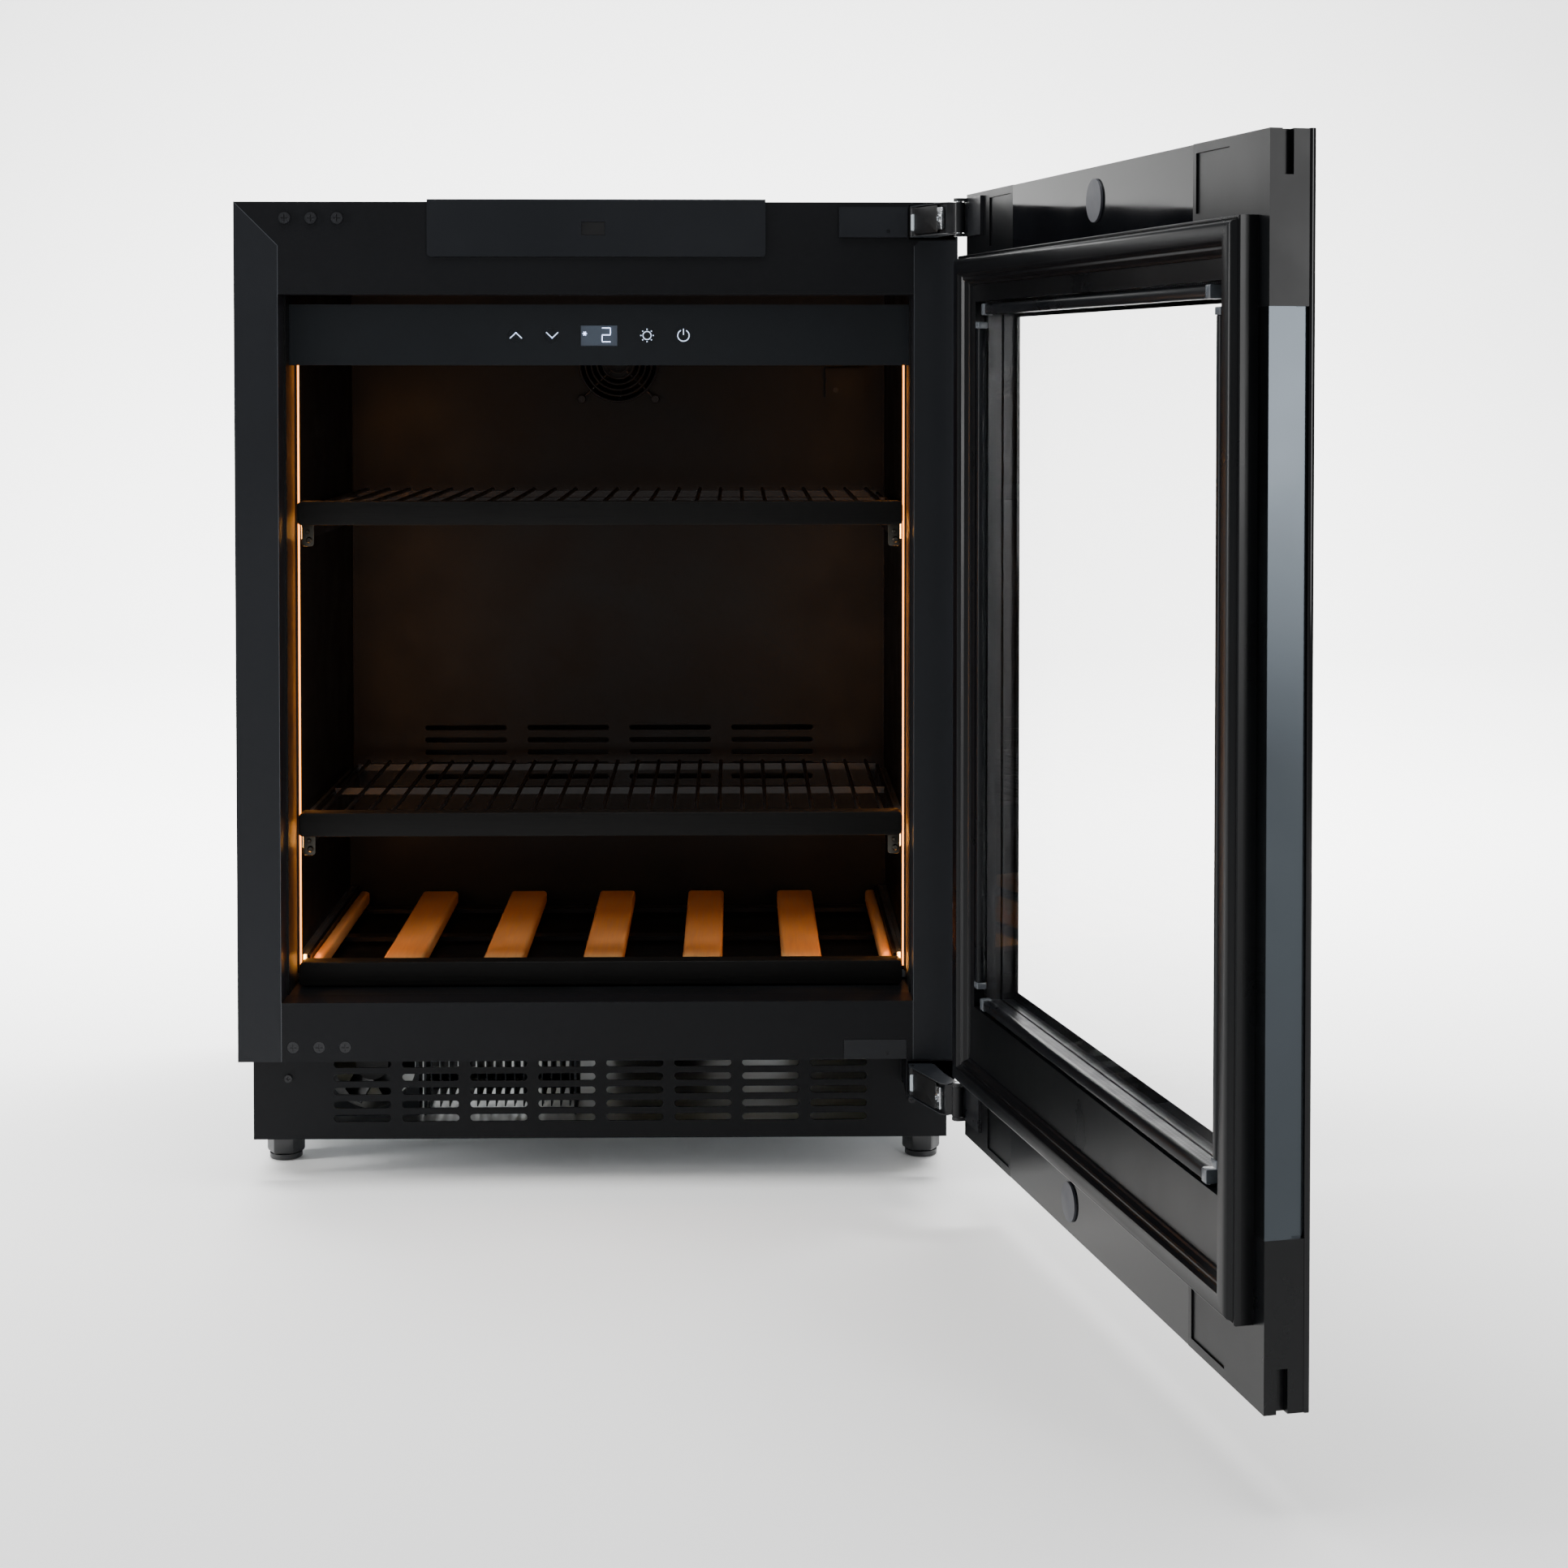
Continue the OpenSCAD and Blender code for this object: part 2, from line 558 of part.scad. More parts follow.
// finned block with its fan shroud beside it
module condenser() {
    color("#6f7378") {
        for (i = [0 : 15]) slab([-150 + i * 8, -149 + i * 8], [100, 160], [42, 122]);
        for (y = [115, 145]) for (z = [58, 82, 106]) rod_x([-156, -24], y, z, 4);
        slab([-156, -154], [100, 160], [base_z + 1.5, 122]);
        slab([-26, -24], [100, 160], [base_z + 1.5, 122]);
    }
    color("#1b1c1e") difference() {
        slab([-243, -160], [100, 126], [base_z + 1.5, 123]);
        rod_y(-201, 79, [99, 127], 38);
    }
    color("#1b1c1e") difference() {
        union() {
            rod_y(-201, 79, [121, 126], 15);
            slab([-240, -162], [122, 126], [77, 81]);
        }
        rod_y(-201, 79, [99, 127], 2.05);
    }
}
module condenser_fan_rotor() color("#222427") {
    fan_blades(-201, 103, 79, 36, 14, 15, 6);
    rod_y(-201, 79, [118, 126], 2);
}
// finned block behind the back wall of the liner, with its pipe bends
module evaporator() color("#9fa4a8") {
    for (i = [0 : 17]) slab([-170 + i * 20, -169 + i * 20], [424, 464], [400, 600]);
    both([176, 178], [fan_wall + 4, 466], [395, 605]);
    for (z = [420 : 40 : 580]) for (y = [434, 454]) rod_x([-180, 180], y, z, 4);
}
// holds the control board above the liner's lamp wiring
module control_box() color("#d6d8da") difference() {
    slab([-110, 110], [70, 190], [liner_h + liner_t, 792]);
    slab([-107, 107], [73, 187], [liner_h + liner_t + 3, 793]);
}
// gland where the mains lead enters the back panel
module power_inlet() color("#17181a") difference() {
    union() {
        rod_y(190, 150, [cabinet_d - 6, cabinet_d], 10.9);
        rod_y(190, 150, [cabinet_d, cabinet_d + 3], 14);
        rod_y(190, 150, [cabinet_d + 3, cabinet_d + 12], 8);
    }
    rod_y(190, 150, [cabinet_d - 7, cabinet_d + 13], 4);
}
// welded shell on four rubber mounts, with its start box
module compressor() {
    color("#121314") translate([40, front_y + 458, 0]) {
        translate([0, 0, 62]) cylinder(h = 100, r = 53);
        translate([0, 0, 162]) rotate_extrude() intersection() {
            translate([0, -50]) circle(r = 75);
            square([53, 30]);
        }
        translate([0, 0, 42]) cylinder(h = 20, r = 50);
        translate([-80, -45, 45]) cube([160, 90, 3]);
        translate([-85, -25, 80]) cube([38, 50, 50]);
    }
    color("#2a2a2a") for (x = [-70, 70]) for (y = [-36, 36])
        translate([40 + x, front_y + 458 + y, base_z + 1.5]) cylinder(h = 10.5, r = 8);
}

outer_casing();
back_panel();
base_tray();
insulation_foam();
inner_liner();
frame_stiles();
top_rail();
bottom_rail();
power_inlet();
control_box();
fixing_plate();
door_sensor();
hinge_pockets();
hinge_covers();
upper_hinge_arm();
upper_arm_cover();
lower_hinge_arm();
lower_arm_cover();
hinge_pins();
door_brackets();
door_outer_glass();
door_side_profiles();
door_bands();
corner_caps();
evaporator();
bottle_slats();
door_inner_panes();
door_spacer_bars();
door_liner_frame();
door_gasket();
door_light_strips();
door_discs();
control_fascia();
display_module();
touch_keys();
led_strips();
evaporator_cover();
fan_guard();
fan_housing();
fan_rotor();
sensor_cover();
cabinet_screws();
fixed_runners();
upper_runner_members();
middle_runner_members();
bottle_runner_members();
upper_shelf();
upper_shelf_trim();
middle_shelf();
middle_shelf_trim();
bottle_shelf();
bottle_shelf_trim();
plinth_grille();
feet_front_left();
feet_front_right();
feet_back_left();
feet_back_right();
condenser();
condenser_fan_rotor();
compressor();
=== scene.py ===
"""Undercounter refrigerator with its glass door open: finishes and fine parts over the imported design."""

import json
import math

import bmesh
import bpy
import numpy as np
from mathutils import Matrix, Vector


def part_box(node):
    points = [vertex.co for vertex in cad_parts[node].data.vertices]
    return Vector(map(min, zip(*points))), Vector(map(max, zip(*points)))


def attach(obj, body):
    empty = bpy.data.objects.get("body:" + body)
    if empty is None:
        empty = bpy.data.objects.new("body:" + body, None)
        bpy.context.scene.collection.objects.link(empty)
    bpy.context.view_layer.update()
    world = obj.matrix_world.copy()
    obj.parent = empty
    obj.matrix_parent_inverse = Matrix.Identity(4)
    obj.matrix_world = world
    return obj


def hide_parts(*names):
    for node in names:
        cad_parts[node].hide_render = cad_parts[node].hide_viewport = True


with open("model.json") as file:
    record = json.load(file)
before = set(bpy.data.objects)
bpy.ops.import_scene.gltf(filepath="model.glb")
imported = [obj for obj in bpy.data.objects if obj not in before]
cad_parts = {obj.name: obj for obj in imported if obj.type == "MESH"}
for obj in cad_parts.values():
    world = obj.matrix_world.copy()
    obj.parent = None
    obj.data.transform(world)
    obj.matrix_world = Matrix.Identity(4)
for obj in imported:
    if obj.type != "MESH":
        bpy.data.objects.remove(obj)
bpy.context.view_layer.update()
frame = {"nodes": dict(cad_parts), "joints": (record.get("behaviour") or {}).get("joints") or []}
parts = frame["nodes"]


# ---- room ----
# A pale seamless floor under soft boxes, as in a product studio: one large box overhead, one on the
# backdrop, and two narrow upright ones whose reflections draw the black frame and the door's edge.

def linear(hex_colour):
    """sRGB hex to linear RGBA, by the sRGB curve: c/12.92 below 0.04045, else ((c + 0.055)/1.055)^2.4."""
    shades = [int(hex_colour[i:i + 2], 16) / 255 for i in (1, 3, 5)]
    return [c / 12.92 if c <= 0.04045 else ((c + 0.055) / 1.055) ** 2.4 for c in shades] + [1.0]


def add_node(tree, kind, settings=None, links=None):
    """Adds a shader node, sets its fields and sockets by name, and links sockets to (node, output)."""
    made = tree.nodes.new(kind)
    for name, value in (settings or {}).items():
        if isinstance(name, str) and hasattr(made, name):
            setattr(made, name, value)
        else:
            made.inputs[name].default_value = value
    for socket, (source, output) in (links or {}).items():
        tree.links.new(source.outputs[output], made.inputs[socket])
    return made


def finish(name, shades, patch_mm, grain_mm, bump_mm, rough, **sockets):
    """A finish whose colour drifts between two shades over patches and whose grain is in bump and gloss."""
    material = bpy.data.materials.new(name)
    material.use_nodes = True
    tree = material.node_tree
    shader = tree.nodes["Principled BSDF"]
    place = add_node(tree, "ShaderNodeTexCoord")
    patches = add_node(tree, "ShaderNodeTexNoise", {"Scale": 1000 / patch_mm, "Detail": 4.0},
                       {"Vector": (place, "Object")})
    grain = add_node(tree, "ShaderNodeTexNoise", {"Scale": 1000 / grain_mm, "Detail": 2.0},
                     {"Vector": (place, "Object")})
    colour = add_node(tree, "ShaderNodeMix", {"data_type": "RGBA", 6: linear(shades[0]),
                      7: linear(shades[1])}, {0: (patches, 0)})
    gloss = add_node(tree, "ShaderNodeMapRange", {"From Min": 0.3, "From Max": 0.7, "To Min": rough[0],
                     "To Max": rough[1]}, {"Value": (patches, 0)})
    bump = add_node(tree, "ShaderNodeBump", {"Distance": bump_mm / 1000}, {"Height": (grain, 0)})
    tree.links.new(colour.outputs[2], shader.inputs["Base Color"])
    tree.links.new(gloss.outputs[0], shader.inputs["Roughness"])
    tree.links.new(bump.outputs[0], shader.inputs["Normal"])
    for socket, value in sockets.items():
        shader.inputs[socket.replace("_", " ")].default_value = value
    return material


def dress(material, *names):
    """Puts one finish on every material slot of these carried-over nodes."""
    for name in names:
        for place in parts[name].material_slots:
            place.material = material


eye = bpy.data.cameras.new("studio_camera")
eye.lens = 60.77
eye.sensor_width = 36.0
eye.shift_y = -0.2141
camera = bpy.data.objects.new("studio_camera", eye)
camera.location = (0.1143, -2.462, 0.6761)
camera.rotation_euler = (math.pi / 2 - 0.02782, 0.0, -0.01829)
bpy.context.scene.collection.objects.link(camera)
bpy.context.scene.camera = camera

floor_mesh = bpy.data.meshes.new("studio_floor")
across, along = np.meshgrid(np.linspace(-6, 6, 13), np.linspace(-6, 6, 13))
rise = np.where(along > 2.5, (along - 2.5) ** 2 * 0.35, 0.0)
spots = np.stack([across, along, rise - 0.0005], -1).reshape(-1, 3)
row, col = np.meshgrid(np.arange(12), np.arange(12), indexing="ij")
corner = row * 13 + col
floor_mesh.from_pydata(spots.tolist(), [], np.stack([corner, corner + 1, corner + 14, corner + 13],
                       -1).reshape(-1, 4).tolist())
floor_mesh.polygons.foreach_set("use_smooth", [True] * len(floor_mesh.polygons))
floor = bpy.data.objects.new("studio_floor", floor_mesh)
bpy.context.scene.collection.objects.link(floor)
# rolled studio paper, matte and nearly white
floor_mesh.materials.append(finish("studio_paper", ("#f4f4f3", "#fbfbfa"), 900, 3, 0.02, (0.75, 0.85)))

sky = bpy.data.worlds.new("studio_air")
sky.use_nodes = True
sky.node_tree.nodes["Background"].inputs["Color"].default_value = linear("#f3f4f6")
sky.node_tree.nodes["Background"].inputs["Strength"].default_value = 0.55
bpy.context.scene.world = sky

for name, place, aim, width, height, watts in (
        ("overhead_box", (0.0, -0.7, 2.7), (0.0, -0.9, 0.0), 2.4, 1.6, 95.0),
        ("backdrop_box", (0.0, 1.1, 2.4), (0.0, 3.4, 0.2), 3.6, 1.2, 700.0),
        ("left_box", (-2.0, -0.7, 1.0), (0.0, -0.3, 0.5), 0.35, 1.5, 34.0),
        ("door_edge_box", (1.95, -2.9, 0.95), (0.45, -0.92, 0.6), 0.5, 1.3, 30.0)):
    lamp = bpy.data.lights.new(name, "AREA")
    lamp.shape = "RECTANGLE"
    lamp.size, lamp.size_y, lamp.energy = width, height, watts
    box = bpy.data.objects.new(name, lamp)
    box.location = place
    box.rotation_euler = (Vector(aim) - Vector(place)).to_track_quat("-Z", "Y").to_euler()
    bpy.context.scene.collection.objects.link(box)


# ---- cabinet shell and front frame ----
# Folded sheet steel, mitred at the corners of the front, in fine-textured black powder coat. The
# coat's orange peel of about 0.8 mm catches the light as a soft sheen rather than as reflections.
powder_coat = finish("black_powder_coat", ("#090a0c", "#0c0d10"), 140, 0.8, 0.06, (0.44, 0.48),
                     Specular_IOR_Level=0.12)
dress(powder_coat, "top_rail", "bottom_rail", "outer_casing", "hinge_pockets", "plinth_grille")
# The stiles carry the same powder coat as the rails; their colour is a trace lighter as painted sheen, for
# the light that falls on them more than on the rails.
dress(finish("stile_powder_coat_painted_sheen", ("#101215", "#14161a"), 140, 0.8, 0.06, (0.42, 0.46),
             Specular_IOR_Level=0.18), "frame_stiles")
# The fixing plate and the hinge covers are smoother, a satin black a shade lighter than the frame.
dress(finish("satin_black_plate", ("#0f1114", "#15171b"), 120, 1.5, 0.01, (0.3, 0.4),
             Specular_IOR_Level=0.18), "fixing_plate", "hinge_covers")

# Hot-dip zinc: cool grey with soft spangle, on the folded back, tray and telescopic runners.
zinc = finish("zinc_plated_steel", ("#9b9fa3", "#b4b8bb"), 14, 1.6, 0.01, (0.28, 0.44), Metallic=1.0)
dress(zinc, "back_panel", "base_tray", "fixed_runners", "upper_runner_members",
      "middle_runner_members", "bottle_runner_members")
# Black oxide screws, slightly oiled.
dress(finish("black_oxide_screws", ("#101113", "#1b1c1f"), 3, 0.6, 0.01, (0.3, 0.45),
             Specular_IOR_Level=0.25), "cabinet_screws")


# ---- liner, air cover and foam ----
# One vacuum-formed sheet of black polystyrene with a leather-fine grain; the air cover and the sensor's
# hood are the same plastic, moulded. Foam fills the wall behind the liner.
liner_plastic = finish("black_formed_plastic", ("#08090a", "#0e0f11"), 60, 1.1, 0.08, (0.36, 0.5),
                       Specular_IOR_Level=0.16)
dress(liner_plastic, "inner_liner", "evaporator_cover", "sensor_cover")
dress(finish("rigid_foam", ("#d9cc9a", "#eadfb6"), 12, 2.0, 0.3, (0.8, 0.95)), "insulation_foam")
dress(finish("grey_moulded_box", ("#c3c7ca", "#d2d5d7"), 40, 0.9, 0.03, (0.45, 0.6)), "control_box")
moulded_black = finish("black_moulded_plastic", ("#060607", "#0c0d0e"), 30, 0.9, 0.03, (0.3, 0.46),
                        Specular_IOR_Level=0.3)
dress(moulded_black, "fan_housing", "fan_rotor", "power_inlet", "door_sensor", "condenser_fan_rotor")
# Aluminium fins pressed on copper tube, their colour darkened far below bare aluminium as painted shade for
# the dark they sit in behind the grille and the air cover.
shaded_fins = finish("aluminium_fins_painted_shade", ("#26282a", "#383b3e"), 20, 1.0, 0.02, (0.4, 0.55), Metallic=0.8)
dress(shaded_fins, "evaporator", "condenser")
dress(finish("black_shell_paint", ("#0b0b0d", "#15161a"), 45, 1.4, 0.03, (0.22, 0.34)), "compressor")


# ---- control panel ----
# A black moulded strip under the ceiling: a lit grey display window with one figure and a snow mark,
# and touch symbols that glow through the plastic. The marks lie on its face, 0.3 mm proud.

def loft(*runs, loop=False):
    """Rings of equally many points, each joined to the next by quads; an open run gets flat ends.
    A ring k runs over j, and the face at (k, j) joins points (k, j), (k, j+1), (k+1, j+1), (k+1, j)."""
    spots, faces, base = [], [], 0
    for rings in runs:
        k, n = rings.shape[:2]
        i, j = np.meshgrid(np.arange(k if loop else k - 1), np.arange(n), indexing="ij")
        after, right = (i + 1) % k, (j + 1) % n
        quads = base + np.stack([i * n + j, i * n + right, after * n + right, after * n + j], -1)
        faces += quads.reshape(-1, 4).tolist()
        if not loop:
            faces += [list(range(base, base + n))[::-1], list(range(base + (k - 1) * n, base + k * n))]
        spots.append(rings.reshape(-1, 3))
        base += k * n
    return np.concatenate(spots), faces


def make(name, body, shape, material, soft_angle=35):
    """A new piece from points in metres and faces, normals outward, riding on one body."""
    mesh = bpy.data.meshes.new(name)
    mesh.from_pydata(shape[0].tolist(), [], shape[1])
    work = bmesh.new()
    work.from_mesh(mesh)
    bmesh.ops.remove_doubles(work, verts=work.verts, dist=1e-7)
    bmesh.ops.recalc_face_normals(work, faces=work.faces)
    work.to_mesh(mesh)
    work.free()
    mesh.polygons.foreach_set("use_smooth", [True] * len(mesh.polygons))
    mesh.set_sharp_from_angle(angle=math.radians(soft_angle))
    mesh.materials.append(material)
    piece = bpy.data.objects.new(name, mesh)
    bpy.context.scene.collection.objects.link(piece)
    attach(piece, body)
    return piece


def glow(name, hex_colour, strength, **sockets):
    """A lit surface: its own light over a pale lens, a little uneven from place to place."""
    material = finish(name, (hex_colour, hex_colour), 30, 1.0, 0.0, (0.3, 0.4), **sockets)
    shader = material.node_tree.nodes["Principled BSDF"]
    shader.inputs["Emission Color"].default_value = linear(hex_colour)
    shader.inputs["Emission Strength"].default_value = strength
    return material


def bar_y(x, z, y, thick, start, end):
    """A flat stroke on a face across Y, from start to end in (x, z): four points at each depth."""
    a, b = np.array(start, float), np.array(end, float)
    side = np.array([-(b - a)[1], (b - a)[0]]) / np.hypot(*(b - a)) * thick / 2
    flat = np.stack([a + side, b + side, b - side, a - side]) + np.array([x, z])
    return np.stack([np.insert(flat, 1, depth, axis=1) for depth in y])


def arc_y(x, z, y, r, thick, start, stop, steps=28):
    """A flat ring segment on a face across Y: quads between two arcs, from start to stop in degrees."""
    t = np.radians(np.linspace(start, stop, steps))
    ring = np.array([[r - thick / 2, y[0]], [r + thick / 2, y[0]], [r + thick / 2, y[1]],
                     [r - thick / 2, y[1]]])
    return np.stack([x + np.cos(t)[:, None] * ring[:, 0], np.broadcast_to(ring[:, 1], (steps, 4)),
                     z + np.sin(t)[:, None] * ring[:, 0]], -1)


panel_plastic = finish("charcoal_panel_plastic", ("#14171a", "#1a1d21"), 150, 0.9, 0.02, (0.4, 0.5),
                       Specular_IOR_Level=0.15)
dress(panel_plastic, "control_fascia")
keys_low, keys_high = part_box("touch_keys")
lens_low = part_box("display_module")[0]
face_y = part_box("control_fascia")[0].y
mark_y = (face_y - 0.0001, face_y + 0.0004)
key_z = (keys_low.z + keys_high.z) / 2
lit_marks = glow("lit_touch_marks", "#cfe0ff", 1.6)
up = [bar_y(-0.0702, key_z, mark_y, 0.0007, (-0.005, -0.0024), (0.0003, 0.0026)),
      bar_y(-0.0702, key_z, mark_y, 0.0007, (-0.0003, 0.0026), (0.005, -0.0024))]
down = [bar_y(-0.0398, key_z, mark_y, 0.0007, (-0.005, 0.0026), (0.0003, -0.0024)),
        bar_y(-0.0398, key_z, mark_y, 0.0007, (-0.0003, -0.0024), (0.005, 0.0026))]
rays = [bar_y(0.0399, key_z, mark_y, 0.0008,
              (0.0047 * math.cos(a), 0.0047 * math.sin(a)), (0.0056 * math.cos(a), 0.0056 * math.sin(a)))
        for a in np.radians(np.arange(0, 360, 45))]
sun = [arc_y(0.0399, key_z, mark_y, 0.0034, 0.0006, 0, 360, 37)] + rays
power = [arc_y(0.0705, key_z, mark_y, 0.0048, 0.0007, 118, 422), bar_y(0.0705, key_z, mark_y, 0.0007,
         (0, 0.0006), (0, 0.0056))]
strokes = make("touch_marks", "cabinet", loft(*up, *down, *sun, *power), lit_marks)
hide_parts("touch_keys")
# caps that close the key holes flush with the strip
caps = [np.stack([np.stack([x + 0.0059 * np.cos(t), np.full(32, y), key_z + 0.0059 * np.sin(t)], -1)
                  for y in (face_y + 0.0003, face_y + 0.003)])
        for x in (-0.071, -0.0405, 0.040, 0.0705) for t in [np.linspace(0, 2 * np.pi, 32, False)]]
make("key_caps", "cabinet", loft(*caps), panel_plastic)
dress(glow("lit_display_window", "#39424e", 0.35), "display_module")
digit_y = (lens_low.y - 0.0004, lens_low.y + 0.0002)
# a seven-segment figure: its five lit bars
figure = [bar_y(0.0056, 0.7095, digit_y, 0.0007, *ends) for ends in (
    ((-0.0035, 0.0058), (0.0035, 0.0058)), ((0.0035, 0.0053), (0.0035, 0.0005)),
    ((-0.0035, 0.0), (0.0035, 0.0)), ((-0.0035, -0.0005), (-0.0035, -0.0053)),
    ((-0.0035, -0.0058), (0.0035, -0.0058)))]
snow = [bar_y(-0.0125, 0.7106, digit_y, 0.0006, (-0.0018 * math.cos(a), -0.0018 * math.sin(a)),
              (0.0018 * math.cos(a), 0.0018 * math.sin(a))) for a in np.radians((0, 60, 120))]
make("display_figures", "cabinet", loft(*figure, *snow), glow("lit_figures", "#c9d8ff", 4.0))


# ---- frame seams ----
# Where the stiles meet the rails the folded edges catch the light as hairlines, drawn here as thin strips
# in a light grey, a painted highlight: upright beside the opening and across the ends of the bottom rail,
# and mitred at the corner without a hinge pocket.
stile_low, stile_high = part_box("frame_stiles")
rail_box, foot_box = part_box("top_rail"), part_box("bottom_rail")
inner = foot_box[1].x
mitre = stile_high.x - inner
seam_y = (stile_low.y - 0.00008, stile_low.y + 0.0003)
edges = [bar_y(0.0, 0.0, seam_y, 0.0004, (side * a, b), (side * c, d)) for side in (-1, 1)
         for a, b, c, d in (
             (inner, stile_high.z - mitre, inner, rail_box[0].z),
             (inner + 0.0002, rail_box[0].z, inner + 0.0002, foot_box[1].z),
             (inner, foot_box[1].z, inner, foot_box[0].z + 0.0003))]
edges.append(bar_y(0.0, 0.0, seam_y, 0.0004, (0.0005 - stile_high.x, stile_high.z - 0.0005),
                   (-inner - 0.0002, stile_high.z - mitre + 0.0002)))
# a light grey that paints the edges' highlight, not the coat's own colour
edge_highlight_paint = finish("painted_edge_highlight", ("#2f3236", "#3a3d42"), 40, 0.8, 0.0, (0.3, 0.4))
make("frame_seam_highlights", "cabinet", loft(*edges), edge_highlight_paint)


# ---- lamp strips ----
# A thin warm lamp line in a black plastic channel runs down each inner side behind the shelf
# fronts. It lights the side walls, the slats and the shelf ends, and leaves the fronts dark.
lamps_low, lamps_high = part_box("led_strips")
# the channel's section in millimetres, out from the wall and back from its front: a low front lip
# that shows the lens, a floor, and a high back lip that shades the shelf ends
section = np.array([[0, 0], [1.0, 0], [1.4, 0.6], [1.2, 1.6], [1.2, 3.9], [3.0, 4.1], [3.4, 4.7],
                    [3.4, 5.5], [0, 5.5]]) / 1000
arch = np.linspace(0, np.pi, 9)
lens_section = np.stack([0.0017 + 0.0014 * np.sin(arch), 0.00275 - 0.0010 * np.cos(arch)], -1)
channels, lenses = [], []
for side in (-1, 1):
    for runs, shape, short in ((channels, section, 0.0), (lenses, lens_section, 0.004)):
        outline = np.stack([side * (lamps_high.x - shape[:, 0]), lamps_low.y + shape[:, 1]], -1)
        runs.append(np.stack([np.insert(outline, 2, z, axis=1)
                              for z in (lamps_low.z + short, lamps_high.z - short)]))
channel = make("lamp_channels", "cabinet", loft(*channels), moulded_black)
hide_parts("led_strips")
make("lamp_lenses", "cabinet", loft(*lenses), glow("warm_lamp_lens", "#ff9638", 5.0))
for name, x, turn in (("left_lamp_glow", -0.2552, -math.pi / 2), ("right_lamp_glow", 0.2552, math.pi / 2)):
    lamp = bpy.data.lights.new(name, "AREA")
    lamp.shape = "RECTANGLE"
    lamp.size, lamp.size_y, lamp.energy = 0.55, 0.004, 0.9
    lamp.color = linear("#ffa548")[:3]
    strip = bpy.data.objects.new(name, lamp)
    strip.location = (x, -0.2030, 0.44)
    strip.rotation_euler = (0.0, turn, -math.copysign(0.35, turn))
    bpy.context.scene.collection.objects.link(strip)


# ---- fan guard ----
# Round wire rings welded to four struts over the fan's opening, black coated, screwed at four feet.

def torus(centre, r, wire, steps=64, around=10):
    """A ring of wire across Y: centre + (r + wire cos v)(cos u, 0, sin u) + (0, wire sin v, 0)."""
    u, v = np.meshgrid(np.linspace(0, 2 * np.pi, steps, False), np.linspace(0, 2 * np.pi, around, False),
                       indexing="ij")
    reach = r + wire * np.cos(v)
    return np.stack([centre[0] + reach * np.cos(u), centre[1] + wire * np.sin(v),
                     centre[2] + reach * np.sin(u)], -1)


def rod(start, end, r, around=12, ease=0.25):
    """A rod with eased ends: circles of radius r about the line from start to end."""
    a, b = np.array(start, float), np.array(end, float)
    line = (b - a) / np.linalg.norm(b - a)
    side = np.cross(line, [0.0, 0.0, 1.0] if abs(line[2]) < 0.9 else [1.0, 0.0, 0.0])
    side /= np.linalg.norm(side)
    t = np.linspace(0, 2 * np.pi, around, False)[:, None]
    circle = np.cos(t) * side + np.sin(t) * np.cross(line, side)
    stations = ((0.0, 1 - ease), (ease * r, 1.0))
    low = [a + line * d + circle * r * s for d, s in stations]
    return np.stack(low + [b - line * d + circle * r * s for d, s in stations[::-1]])


guard_low, guard_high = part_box("fan_guard")
hub = ((guard_low.x + guard_high.x) / 2, guard_low.y, (guard_low.z + guard_high.z) / 2)
wire_black = finish("black_coated_wire", ("#08090a", "#121316"), 25, 0.7, 0.02, (0.28, 0.4),
                    Specular_IOR_Level=0.3)
rings = [torus((hub[0], hub[1] + 0.0012, hub[2]), r, 0.0011) for r in np.arange(0.010, 0.0381, 0.0056)]
arms = [rod((hub[0] + 0.0085 * c, hub[1] + 0.0032, hub[2] + 0.0085 * s),
            (hub[0] + 0.0462 * c, hub[1] + 0.0032, hub[2] + 0.0462 * s), 0.0011)
        for c, s in ((0.7071, 0.7071), (-0.7071, 0.7071), (0.7071, -0.7071), (-0.7071, -0.7071))]
pads = [rod((hub[0] + 0.03575 * i, hub[1] + 0.0014, hub[2] + 0.03575 * j),
            (hub[0] + 0.03575 * i, hub[1] + 0.006, hub[2] + 0.03575 * j), 0.0042, 20, 0.15)
        for i in (-1, 1) for j in (-1, 1)]
ring_points, ring_faces = loft(*rings, loop=True)
bar_points, bar_faces = loft(*arms, *pads)
guard = make("fan_guard_wires", "cabinet", (np.concatenate([ring_points, bar_points]), ring_faces +
             [[i + len(ring_points) for i in face] for face in bar_faces]), wire_black)
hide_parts("fan_guard")


# ---- shelves ----
# Coated wire shelves on telescopic runners, each behind a front trim of black stained oak whose
# grain runs across. A pressed hook at each end clips the upper and middle shelves to their runners.
# Beech slats carry bottles that lie down.

